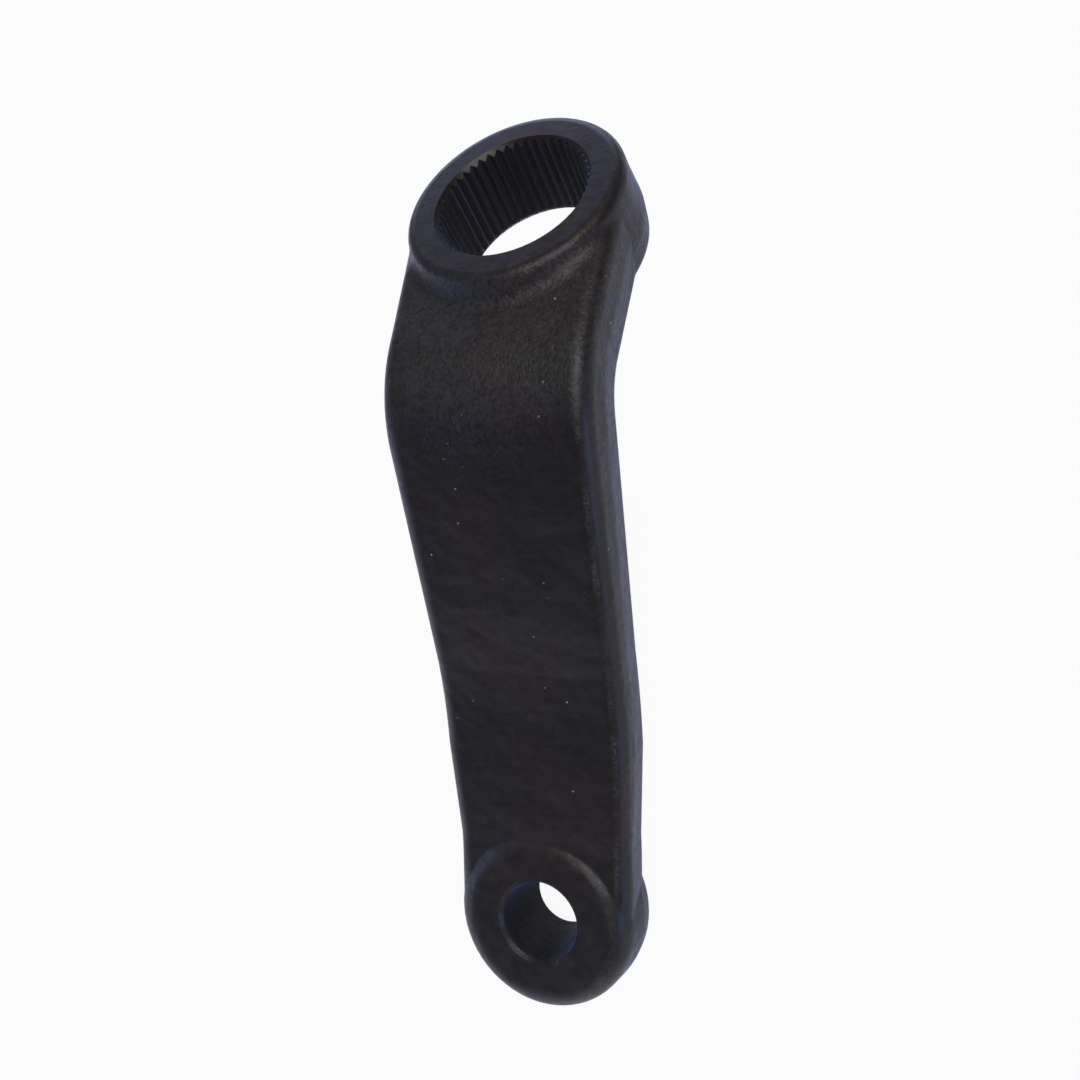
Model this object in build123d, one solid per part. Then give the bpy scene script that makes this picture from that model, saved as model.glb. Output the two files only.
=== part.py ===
from build123d import *
import os
from math import cos, radians, sin, tan

# Forged pitman arm. The origin is the middle of the serrated bore, whose axis is Z. The arm runs towards -Y
# and down from there, and its front is the side that faces up. Sizes are in mm and degrees.

# Serrated bore for the steering shaft
tooth_count = 48
root_radius = 19.5
tooth_height = 0.75
tip_radius = root_radius - tooth_height
root_flat = 0.35
flank_angle = 45.0
mouth_clearance = 0.5
mouth_radius = root_radius + mouth_clearance

# Shaft eye
shaft_eye_wall = 9.4
shaft_eye_radius = root_radius + shaft_eye_wall
shaft_eye_height = 23.0
spot_face_rim = 2.9
spot_face_radius = shaft_eye_radius - spot_face_rim
spot_face_depth = 5.0
shaft_eye_parting = -3.0
shaft_eye_front_edge = 3.0
shaft_eye_back_edge = 3.5
shaft_eye_blend = 5.0

# Shank, from the shaft eye to the stud eye: a bend down, a long back bend, and one into the stud eye's slope
leave_slope = 8.7
eye_to_bend = 5.8
leave_length = shaft_eye_radius + eye_to_bend
bend_angle = 43.9
bend_radius = 25.4
run_length = 59.1
back_bend_angle = 10.8
back_bend_radius = 128.6
end_length = 25.4
stud_eye_slope = 35.4
last_bend_radius = 60.0
last_length = 14.5

# Shank sections: width and height of the parting line, and thickness. The height is measured from the middle.
width_at_bend = 53.8
width_at_back_bend = 51.2
thickness_at_shaft_eye = 21.2
thickness_at_bend = 20.5
thickness_at_back_bend = 18.4
thickness_at_stud_eye = 17.2
parting_at_shaft_eye = 0.4
parting_at_bend = 0.7
parting_at_back_bend = 2.5
parting_at_stud_eye = 3.8
shank_corner = 4.4

# Stud eye, with a tapered hole that is widest at the raised boss
stud_eye_radius = 25.0
stud_eye_parting = -2.9
boss_rise = 1.3
back_rise = 2.9
stud_eye_front_edge = 6.2
stud_eye_back_edge = 5.6
stud_eye_blend = 1.6
stud_hole_radius = 10.6
stud_hole_taper = 1 / 12
stud_hole_chamfer = 1.0

# Widths of the shank that follow from the eyes
shaft_eye_shoulder = 0.7
width_at_shaft_eye = 2 * (shaft_eye_radius - shaft_eye_shoulder)
stud_eye_shoulder = 0.8
width_at_stud_eye = 2 * (stud_eye_radius - stud_eye_shoulder)

# Forging
draft = 4.8
flash_land = 1.2
cut_margin = 5.0


def lean(height):
    """How far a drafted wall leans in over a height."""
    return height * tan(radians(draft))


def travel(slope):
    """The direction along the arm where it slopes down by an angle."""
    return Vector(0, -cos(radians(slope)), -sin(radians(slope)))


def outward(slope):
    """The direction out of the arm's front face where it slopes down by an angle."""
    return Vector(0, -sin(radians(slope)), cos(radians(slope)))


def half_section(edge, front, back, parting):
    """The right half of a forged section, from back to front, drafted both ways from the parting line."""
    upper = parting + flash_land / 2
    lower = parting - flash_land / 2
    return [
        (edge - lean(lower - back), back),
        (edge, lower),
        (edge, upper),
        (edge - lean(front - upper), front),
    ]


def shank_section(middle, slope, width, thickness, parting):
    """The shank cut across, with rounded corners."""
    right = half_section(width / 2, thickness / 2, -thickness / 2, parting)
    left = [(-x, y) for x, y in reversed(right)]
    outline = make_face(Polyline(*right, *left, close=True))
    rows = outline.vertices().group_by(Axis.Y)
    rounded = fillet(rows[0] + rows[-1], shank_corner)
    return Plane(middle, x_dir=(1, 0, 0), z_dir=travel(slope)) * rounded


def eye(radius, front, back, parting, front_edge, back_edge):
    """A forged eye about Z with rounded rims."""
    right = half_section(radius, front, back, parting)
    outline = make_face(Polyline((0, back), *right, (0, front), close=True))
    corners = outline.vertices().filter_by(lambda corner: corner.X > 0).sort_by(Axis.Y)
    outline = fillet(corners[-1], front_edge)
    corners = outline.vertices().filter_by(lambda corner: corner.X > 0).sort_by(Axis.Y)
    return revolve(Plane.XZ * fillet(corners[0], back_edge), Axis.Z)


def blended(shape, point, radius):
    """The shape with the concave edge nearest to a point rounded, and all that runs on smoothly from it."""
    return fillet(shape.edges().sort_by_distance(point)[0], radius)


def serrated_bore():
    """What the broach takes out: a bore to the tooth tips and a groove for each tooth space, with coned mouths."""
    inner_radius = tip_radius - cut_margin
    inner_half = root_flat / 2 + (root_radius - inner_radius) * tan(radians(flank_angle))
    groove = make_face(
        Polyline(
            (inner_radius, -inner_half),
            (root_radius, -root_flat / 2),
            (root_radius, root_flat / 2),
            (inner_radius, inner_half),
            close=True,
        )
    )
    outline = Circle(tip_radius) + PolarLocations(0, tooth_count, start_angle=180 / tooth_count) * groove
    bore = extrude(outline, shaft_half, both=True)
    mouth_depth = mouth_radius - tip_radius
    cone = Cone(tip_radius, mouth_radius, mouth_depth, align=from_the_top)
    mouth = Pos(0, 0, shaft_half) * cone
    return bore + mouth + mirror(mouth, Plane.XY)


def spot_face():
    """What the cutter takes off the shank's back, so that the shaft eye's back is flat all round the bore."""
    cutter = Cylinder(spot_face_radius, spot_face_depth, align=from_the_top)
    return Pos(0, 0, -shaft_half) * cutter


def stud_hole(front, back):
    """The tapered hole through the stud eye, with its wide end at the boss and a chamfer at each end."""
    far_radius = stud_hole_radius - (front - back) * stud_hole_taper
    profile = Polyline(
        (0, front),
        (stud_hole_radius + stud_hole_chamfer, front),
        (stud_hole_radius, front - stud_hole_chamfer),
        (far_radius, back + stud_hole_chamfer),
        (far_radius + stud_hole_chamfer, back),
        (0, back),
        close=True,
    )
    return revolve(Plane.XZ * make_face(profile), Axis.Z)


bend_sizes = (width_at_bend, thickness_at_bend, parting_at_bend)
back_bend_sizes = (width_at_back_bend, thickness_at_back_bend, parting_at_back_bend)
stud_sizes = (width_at_stud_eye, thickness_at_stud_eye, parting_at_stud_eye)
shaft_half = shaft_eye_height / 2
from_the_top = (Align.CENTER, Align.CENTER, Align.MAX)

# Shaft eye and the first stretch of the shank
slope = leave_slope
middle = Vector(0, 0, 0)
shaft_step = middle + travel(slope) * shaft_eye_radius + outward(slope) * thickness_at_shaft_eye / 2
shaft_eye_edges = (shaft_eye_front_edge, shaft_eye_back_edge)
shaft_eye = eye(shaft_eye_radius, shaft_half, -shaft_half, shaft_eye_parting, *shaft_eye_edges)
start = shank_section(middle, slope, width_at_shaft_eye, thickness_at_shaft_eye, parting_at_shaft_eye)
middle += travel(slope) * leave_length
before_bend = shank_section(middle, slope, *bend_sizes)
shaft_end = blended(shaft_eye + loft([start, before_bend], ruled=True), shaft_step, shaft_eye_blend)

# Main bend
centre = middle - outward(slope) * bend_radius
bend = revolve(before_bend, Axis(centre, (1, 0, 0)), bend_angle)
slope += bend_angle
middle = centre + outward(slope) * bend_radius

# Straight run
after_bend = shank_section(middle, slope, *bend_sizes)
middle += travel(slope) * run_length
before_back_bend = shank_section(middle, slope, *back_bend_sizes)
run = loft([after_bend, before_back_bend], ruled=True)

# Back bend
centre = middle + outward(slope) * back_bend_radius
back_bend = revolve(before_back_bend, Axis(centre, (-1, 0, 0)), back_bend_angle)
slope -= back_bend_angle
middle = centre - outward(slope) * back_bend_radius

# Last stretch, which turns into the slope of the stud eye
after_back_bend = shank_section(middle, slope, *back_bend_sizes)
middle += travel(slope) * end_length
before_last_bend = shank_section(middle, slope, *stud_sizes)
end = loft([after_back_bend, before_last_bend], ruled=True)
centre = middle + outward(slope) * last_bend_radius
last_bend = revolve(before_last_bend, Axis(centre, (-1, 0, 0)), slope - stud_eye_slope)
middle = centre - outward(stud_eye_slope) * last_bend_radius
last = extrude(shank_section(middle, stud_eye_slope, *stud_sizes), last_length)
middle += travel(stud_eye_slope) * last_length

# Stud eye
stud_plane = Plane(middle, x_dir=(1, 0, 0), z_dir=outward(stud_eye_slope))
stud_front = thickness_at_stud_eye / 2 + boss_rise
stud_back = -thickness_at_stud_eye / 2 - back_rise
stud_eye_edges = (stud_eye_front_edge, stud_eye_back_edge)
stud_eye = stud_plane * eye(stud_eye_radius, stud_front, stud_back, stud_eye_parting, *stud_eye_edges)
stud_step = stud_plane.from_local_coords(Vector(0, stud_eye_radius, thickness_at_stud_eye / 2))
stud_end = blended(end + last_bend + last + stud_eye, stud_step, stud_eye_blend)

body = shaft_end + bend + run + back_bend + stud_end
body -= serrated_bore()
body -= spot_face()
body -= stud_plane * stud_hole(stud_front, stud_back)

os.makedirs("parts", exist_ok=True)
export_step(body, "parts/pitman_arm.step")
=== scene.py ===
from math import radians

import bpy
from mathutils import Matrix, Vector


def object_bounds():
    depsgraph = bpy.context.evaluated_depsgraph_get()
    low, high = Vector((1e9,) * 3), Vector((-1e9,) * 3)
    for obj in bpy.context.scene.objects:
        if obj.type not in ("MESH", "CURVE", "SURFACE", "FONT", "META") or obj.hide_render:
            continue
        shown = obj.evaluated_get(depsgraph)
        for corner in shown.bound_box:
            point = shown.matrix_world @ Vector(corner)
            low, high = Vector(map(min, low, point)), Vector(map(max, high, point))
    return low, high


# Dresses and lights a forged pitman arm. Sizes are in metres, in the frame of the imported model: the origin
# is the middle of the serrated bore, Z is the bore's axis, and the arm runs towards -Y and down.

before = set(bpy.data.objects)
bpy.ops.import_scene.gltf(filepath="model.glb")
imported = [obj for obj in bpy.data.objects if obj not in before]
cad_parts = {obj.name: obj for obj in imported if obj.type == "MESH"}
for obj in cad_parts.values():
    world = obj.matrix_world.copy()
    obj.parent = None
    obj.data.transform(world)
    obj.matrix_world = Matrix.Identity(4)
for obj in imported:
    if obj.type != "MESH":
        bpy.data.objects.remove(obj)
cad_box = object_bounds()

MM = 0.001

# Camera
CAMERA_PLACE = (0.103829, -0.174376, 0.151113)
CAMERA_TURN = (32.592, 20.2751, 13.8615)
CAMERA_LENS = 32.7191
SENSOR_WIDTH = 36.0
NEAREST_SEEN = 0.01

# Arm: its two holes, its bend and its middle
SHAFT_PLACE = (0, 0, 0)
SHAFT_AXIS = (0, 0, 1)
STUD_PLACE = (0, -138.97 * MM, -109.15 * MM)
STUD_AXIS = (0, -0.57928, 0.81513)
BEND_PLACE = (0, -33 * MM, 6 * MM)
ARM_MIDDLE = (0, -70 * MM, -50 * MM)

# Parts of the surface: where each starts, and where it is full
FACE_HEIGHT = (9.5 * MM, 11.3 * MM)
FACE_RADIUS = (28.2 * MM, 24.2 * MM)
TOOTH_HEIGHT = (10.25 * MM, 9.95 * MM)
BORE_RADIUS = (20.0 * MM, 19.5 * MM)
STUD_HOLE_RADIUS = (10.7 * MM, 10.4 * MM)
BEYOND_SHAFT_EYE = (-24 * MM, -45 * MM)
NEAR_BEND = (42 * MM, 14 * MM)

# Ways that the surface faces, from 0 for square to an axis to 1 for along it: where each starts and is full
SIDEWAYS_PAST_FACE = (0.1, 0.35)
SIDEWAYS_BEFORE_WALL = (0.6, 0.4)
SIDEWAYS_ON_WALL = (0.7, 0.95)
UP_ON_FRONT = (0.1, 0.35)
UP_WHERE_LIGHTER = (0.6, 1.0)

# Patterns in the paint, as large as on a real arm: waves of the worn dies, pits of forging scale, spray
# grain, thin paint, blotches that lighten faces pointing up, the broken grey of the front ridges (partly
# rubs, partly painted highlight) and the places where it gathers, and gloss. Real spray grain is about 0.1
# mm across, too fine to show, so it is drawn 0.35 mm across. Each has the size of its blobs, how far its
# axes are squeezed (a small factor draws the blobs out), its detail and roughness, the curve from noise to
# pattern, two noise values, and what they give.
PATTERNS = {
    "waves": (11 * MM, (1, 1, 1), 2.0, 0.55, "LINEAR", (0.0, 1.0), (-0.5, 0.5)),
    "pits": (0.9 * MM, (1, 0.8, 0.8), 3.0, 0.6, "SMOOTHSTEP", (0.35, 0.7), (0.0, 1.0)),
    "grain": (0.35 * MM, (1, 1, 1), 3.0, 0.6, "LINEAR", (0.0, 1.0), (0.0, 1.0)),
    "thin_paint": (26 * MM, (1, 1, 1), 2.0, 0.55, "SMOOTHSTEP", (0.4, 0.65), (0.0, 1.0)),
    "upward_lightening": (3 * MM, (1, 1, 1), 4.0, 0.55, "SMOOTHSTEP", (0.3, 0.8), (0.3, 1.0)),
    "ridge_rubs_and_highlights": (0.7 * MM, (1, 1, 1), 4.0, 0.7, "SMOOTHSTEP", (0.35, 0.7), (0.0, 1.0)),
    "ridge_rub_and_highlight_places": (9 * MM, (1, 1, 1), 2.0, 0.55, "SMOOTHSTEP", (0.42, 0.62), (0.25, 1.0)),
    "gloss": (1.4 * MM, (0.3, 1, 1), 4.0, 0.55, "SMOOTHSTEP", (0.3, 0.7), (0.35, 0.45)),
}

# Specks of dust and paint, one to a cell at most, with an edge in shares of a cell and a chance from 0 to 1
SPECK_CELL = 5 * MM
SPECK_SHIFT = (13.1 * MM, 4.2 * MM, 7.7 * MM)
SPECK_EDGE = (0.075, 0.03)
SPECK_CHANCE = (0.3, 0.9)

# Turning marks. Real ones are about 0.2 mm apart, too fine to show, so they are drawn 0.75 mm apart.
TURNING_PITCH = 0.7536 * MM

# How far apart the rings of a Wave node are at scale 1
WAVE_NODE_PITCH = 0.314

# Heights of the relief in the paint, and the share of the pits that is left away from the bend
WAVE_HEIGHT = 0.8 * MM
PIT_HEIGHT = 0.11 * MM
GRAIN_HEIGHT = 0.03 * MM
TURNING_HEIGHT = 0.004 * MM
PITS_ELSEWHERE = 0.12

# Floor
FLOOR_HEIGHT = cad_box[0].z
FLOOR_SIZE = 6.0
FIBRE_SIZE = 2 * MM
PLAIN_WHITE_SHARE = 0.93

# Light. Each soft box has its place, its width and height, its power in watts, and its colour.
SOFT_BOXES = {
    "top": ((0.4, -0.3, 1.0), (0.8, 0.8), 7.5, "fffaf8"),
    "back": ((-0.42, 1.0, 0.32), (1.0, 0.35), 2.8, "c6d4ff"),
    "right": ((0.95, -0.5, 0.1), (0.6, 0.35), 2.8, "9fb8ff"),
    "left": ((-0.9, -0.5, 0.24), (0.6, 0.55), 1.9, "9fb8ff"),
    "front": ((-0.35, -1.15, -0.04), (0.8, 0.15), 0.3, "c6d4ff"),
}
ROOM_COLOUR = "eee8e8"
ROOM_STRENGTH = 0.25

# Settings of nodes that are used more than once
SMOOTH = {"interpolation_type": "SMOOTHSTEP"}
TIMES = {"operation": "MULTIPLY"}
LARGER = {"operation": "MAXIMUM"}
WITHOUT_SIGN = {"operation": "ABSOLUTE"}
COLOURS = {"data_type": "RGBA"}

# A Mix node's sockets for colours share their names with those for numbers, so they go by number
FIRST_COLOUR = 6
SECOND_COLOUR = 7
MIXED_COLOUR = 2


def linear(hex_colour):
    """The linear RGBA of an sRGB hex colour."""
    channels = [int(hex_colour[start:start + 2], 16) / 255 for start in (0, 2, 4)]
    return [c / 12.92 if c <= 0.04045 else ((c + 0.055) / 1.055) ** 2.4 for c in channels] + [1.0]


def add_node(tree, kind, settings, inputs):
    """Adds a shader node and gives its outputs. The inputs are a list in the order of the node's sockets, or
    go by name or number. One that is another node's output is linked, and any other is set."""
    node = tree.nodes.new("ShaderNode" + kind)
    for name, value in settings.items():
        setattr(node, name, value)
    if isinstance(inputs, list):
        inputs = dict(enumerate(inputs))
    for name, value in inputs.items():
        if isinstance(value, bpy.types.NodeSocket):
            tree.links.new(value, node.inputs[name])
        else:
            node.inputs[name].default_value = value
    return node.outputs


def new_tree(name):
    """A new material and its empty node tree."""
    material = bpy.data.materials.new(name)
    material.use_nodes = True
    material.node_tree.nodes.clear()
    return material, material.node_tree


def distance_from_axis(tree, place, point, axis):
    """How far a place is from the line through a point along an axis: the length of what is left of their
    offset once its share along the axis is taken off."""
    offset = add_node(tree, "VectorMath", {"operation": "SUBTRACT"}, [place, point])["Vector"]
    share = add_node(tree, "VectorMath", {"operation": "PROJECT"}, [offset, axis])["Vector"]
    return add_node(tree, "VectorMath", {"operation": "DISTANCE"}, [offset, share])["Value"]


def painted_forging():
    """Black enamel sprayed on drop-forged steel. It gives the eye a satin, nearly black surface over the
    scale's fine pits and the slow waves that the dies leave, with a smoother machined face. The paint is
    brown where it is thin and holds a few pale specks. It is grey along the front ridges, partly rubbed and
    partly a painted highlight, and darker in the holes as painted shade. Faces that point up are lighter,
    more so in blotches, and a blue sheen paints in a bluish reflection where the surface is seen edge on."""
    material, tree = new_tree("painted_forging")
    place = add_node(tree, "TexCoord", {}, {})["Object"]
    along = add_node(tree, "SeparateXYZ", {}, [place])
    normal = add_node(tree, "NewGeometry", {}, {})["Normal"]
    facing = add_node(tree, "SeparateXYZ", {}, [normal])
    sideways = add_node(tree, "Math", WITHOUT_SIGN, [facing["X"]])["Value"]

    pattern = {}
    for name, (size, squeeze, detail, roughness, curve, noise_span, result_span) in PATTERNS.items():
        squeezed = add_node(tree, "VectorMath", TIMES, [place, squeeze])["Vector"]
        settings = {"Vector": squeezed, "Scale": 1 / size, "Detail": detail, "Roughness": roughness}
        cloud = add_node(tree, "TexNoise", {}, settings)["Fac"]
        ramp = {"interpolation_type": curve}
        pattern[name] = add_node(tree, "MapRange", ramp, [cloud, *noise_span, *result_span])["Result"]

    # Where the surface is machined, lies in a hole, or is left as forged. Here and below, a Map Range whose
    # last input is another mask gives the product of the two.
    from_middle = add_node(tree, "Math", WITHOUT_SIGN, [along["Z"]])["Value"]
    from_shaft = distance_from_axis(tree, place, SHAFT_PLACE, SHAFT_AXIS)
    from_stud = distance_from_axis(tree, place, STUD_PLACE, STUD_AXIS)
    at_face_height = add_node(tree, "MapRange", SMOOTH, [from_middle, *FACE_HEIGHT])["Result"]
    machined = add_node(tree, "MapRange", SMOOTH, [from_shaft, *FACE_RADIUS, 0.0, at_face_height])["Result"]
    at_tooth_height = add_node(tree, "MapRange", SMOOTH, [from_middle, *TOOTH_HEIGHT])["Result"]
    in_bore = add_node(tree, "MapRange", SMOOTH, [from_shaft, *BORE_RADIUS, 0.0, at_tooth_height])["Result"]
    in_stud_hole = add_node(tree, "MapRange", SMOOTH, [from_stud, *STUD_HOLE_RADIUS])["Result"]
    in_hole = add_node(tree, "Math", LARGER, [in_bore, in_stud_hole])["Value"]
    cut = add_node(tree, "Math", LARGER, [machined, in_hole])["Value"]
    forged = add_node(tree, "Math", {"operation": "SUBTRACT"}, [1.0, cut])["Value"]

    # Ridges, where a rounded edge at the front turns from the face to the wall, grey here and there: partly
    # rubbed paint and partly a painted highlight where the front ridges catch the light
    rubbed_and_highlit_ridges = add_node(tree, "Math", TIMES, [pattern["ridge_rubs_and_highlights"], pattern["ridge_rub_and_highlight_places"]])["Value"]
    ridge_spans = [
        (sideways, SIDEWAYS_PAST_FACE),
        (sideways, SIDEWAYS_BEFORE_WALL),
        (facing["Z"], UP_ON_FRONT),
        (along["Y"], BEYOND_SHAFT_EYE),
    ]
    for value, span in ridge_spans:
        rubbed_and_highlit_ridges = add_node(tree, "MapRange", SMOOTH, [value, *span, 0.0, rubbed_and_highlit_ridges])["Result"]

    # Scale pits, deepest at the bend
    from_bend = add_node(tree, "VectorMath", {"operation": "DISTANCE"}, [place, BEND_PLACE])["Value"]
    near_bend = add_node(tree, "MapRange", SMOOTH, [from_bend, *NEAR_BEND, PITS_ELSEWHERE, 1.0])["Result"]
    forged_pits = add_node(tree, "Math", TIMES, [pattern["pits"], forged])["Value"]
    pits = add_node(tree, "Math", TIMES, [forged_pits, near_bend])["Value"]

    # Specks, in the middle of some of the cells
    speck_place = add_node(tree, "VectorMath", {"operation": "ADD"}, [place, SPECK_SHIFT])["Vector"]
    cells = add_node(tree, "TexVoronoi", {}, {"Vector": speck_place, "Scale": 1 / SPECK_CELL})
    lot = add_node(tree, "SeparateXYZ", {}, [cells["Color"]])["X"]
    dots = add_node(tree, "MapRange", SMOOTH, [cells["Distance"], *SPECK_EDGE, 0.0, forged])["Result"]
    specks = add_node(tree, "MapRange", SMOOTH, [lot, *SPECK_CHANCE, 0.0, dots])["Result"]

    # Paint: black, and brownish where it is thin, under layers that each have a share and a colour
    upward_lightening = add_node(tree, "MapRange", SMOOTH, [facing["Z"], *UP_WHERE_LIGHTER, 0.0, pattern["upward_lightening"]])["Result"]
    paints = {0: pattern["thin_paint"], FIRST_COLOUR: linear("0f0d0d"), SECOND_COLOUR: linear("18100f")}
    paint = add_node(tree, "Mix", COLOURS, paints)[MIXED_COLOUR]
    layers = [
        # Lighter on faces that point up, more so in blotches
        (upward_lightening, 0.13, "6d6b6a"),
        (pits, 0.06, "8c8886"),
        # Painted shade: the holes are darkened towards near black
        (in_hole, 0.7, "0c0c0e"),
        # Grey on the front ridges: partly rubbed paint, partly a painted highlight
        (rubbed_and_highlit_ridges, 0.17, "8f8e90"),
        (specks, 0.6, "a9a7a8"),
    ]
    for mask, strength, colour in layers:
        share = add_node(tree, "Math", TIMES, [mask, strength])["Value"]
        paints = {0: share, FIRST_COLOUR: paint, SECOND_COLOUR: linear(colour)}
        paint = add_node(tree, "Mix", COLOURS, paints)[MIXED_COLOUR]

    # Relief, each on top of the one before: waves of the dies, scale pits, spray grain and turning marks
    waves = add_node(tree, "Math", TIMES, [pattern["waves"], forged])["Value"]
    about_bore = {"wave_type": "RINGS", "rings_direction": "Z"}
    turning_scale = WAVE_NODE_PITCH / TURNING_PITCH
    rings = add_node(tree, "TexWave", about_bore, {"Vector": place, "Scale": turning_scale})["Fac"]
    turning = add_node(tree, "Math", TIMES, [rings, machined])["Value"]
    reliefs = [
        (waves, WAVE_HEIGHT, 0.8),
        (pits, PIT_HEIGHT, 0.8),
        (pattern["grain"], GRAIN_HEIGHT, 0.6),
        (turning, TURNING_HEIGHT, 0.5),
    ]
    relief = normal
    for mask, height, strength in reliefs:
        settings = {"Height": mask, "Distance": height, "Strength": strength, "Normal": relief}
        relief = add_node(tree, "Bump", {}, settings)["Normal"]

    # Roughness: satin, duller in the holes and on the walls, and smoother on the machined face
    on_wall = add_node(tree, "MapRange", SMOOTH, [sideways, *SIDEWAYS_ON_WALL])["Result"]
    roughness = pattern["gloss"]
    for mask, change in [(in_hole, 0.3), (machined, -0.1), (on_wall, 0.13)]:
        changed = [mask, change, roughness]
        roughness = add_node(tree, "Math", {"operation": "MULTIPLY_ADD"}, changed)["Value"]

    # Enamel, with its usual IOR of 1.5 lowered to match the dull walls, and a blue sheen over it that is a
    # painted reflection: a bluish glow where the surface is seen edge on
    enamel = {"Base Color": paint, "Roughness": roughness, "Normal": relief, "IOR": 1.4}
    blue_sheen_reflection = {"Sheen Weight": 0.28, "Sheen Roughness": 0.35, "Sheen Tint": linear("8fa6ff")}
    shader = add_node(tree, "BsdfPrincipled", {}, enamel | blue_sheen_reflection)["BSDF"]
    add_node(tree, "OutputMaterial", {}, [shader])
    return material


def white_paper():
    """Backdrop paper, pressed matt and white from short fibres. The eye sees it and its reflections as
    nearly plain white, with a trace of the arm's shadow."""
    material, tree = new_tree("white_paper")
    place = add_node(tree, "TexCoord", {}, {})["Object"]
    fibres = add_node(tree, "TexNoise", {}, {"Vector": place, "Scale": 1 / FIBRE_SIZE, "Detail": 4.0})["Fac"]
    whites = {0: fibres, FIRST_COLOUR: linear("f2f2f2"), SECOND_COLOUR: linear("f6f6f6")}
    colour = add_node(tree, "Mix", COLOURS, whites)[MIXED_COLOUR]
    paper = add_node(tree, "BsdfDiffuse", {}, [colour])["BSDF"]
    plain_white = add_node(tree, "Emission", {}, {"Strength": 1.0})["Emission"]
    path = add_node(tree, "LightPath", {}, {})
    mirrored = add_node(tree, "Math", LARGER, [path["Is Glossy Ray"], path["Is Transmission Ray"]])["Value"]
    seen = add_node(tree, "Math", LARGER, [path["Is Camera Ray"], mirrored])["Value"]
    share = add_node(tree, "Math", TIMES, [seen, PLAIN_WHITE_SHARE])["Value"]
    shader = add_node(tree, "MixShader", {}, [share, paper, plain_white])["Shader"]
    add_node(tree, "OutputMaterial", {}, [shader])
    return material


def soft_box(name, place, size, power, colour):
    """A soft box that faces the middle of the arm."""
    light = bpy.data.lights.new(name, "AREA")
    light.shape = "RECTANGLE"
    light.size, light.size_y = size
    light.energy = power
    light.color = linear(colour)[:3]
    lamp = bpy.data.objects.new(name, light)
    lamp.location = place
    lamp.rotation_euler = (Vector(ARM_MIDDLE) - Vector(place)).to_track_quat("-Z", "Y").to_euler()
    bpy.context.scene.collection.objects.link(lamp)


scene = bpy.context.scene
scene.view_settings.view_transform = "Standard"

# Camera
camera = bpy.data.objects.new("camera", bpy.data.cameras.new("camera"))
camera.location = CAMERA_PLACE
camera.rotation_euler = [radians(angle) for angle in CAMERA_TURN]
camera.data.lens = CAMERA_LENS
camera.data.sensor_width = SENSOR_WIDTH
camera.data.clip_start = NEAREST_SEEN
scene.collection.objects.link(camera)
scene.camera = camera

# Arm
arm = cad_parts["pitman_arm"]
arm.data.materials.clear()
arm.data.materials.append(painted_forging())

# Floor
half = FLOOR_SIZE / 2
corners = [(x * half, y * half, FLOOR_HEIGHT) for x, y in ((-1, -1), (1, -1), (1, 1), (-1, 1))]
floor_mesh = bpy.data.meshes.new("floor")
floor_mesh.from_pydata(corners, [], [(0, 1, 2, 3)])
floor_mesh.materials.append(white_paper())
floor = bpy.data.objects.new("floor", floor_mesh)
scene.collection.objects.link(floor)

# Light
for name, box in SOFT_BOXES.items():
    soft_box(name, *box)
world = bpy.data.worlds.new("world")
world.use_nodes = True
background = world.node_tree.nodes["Background"]
background.inputs["Color"].default_value = linear(ROOM_COLOUR)
background.inputs["Strength"].default_value = ROOM_STRENGTH
scene.world = world
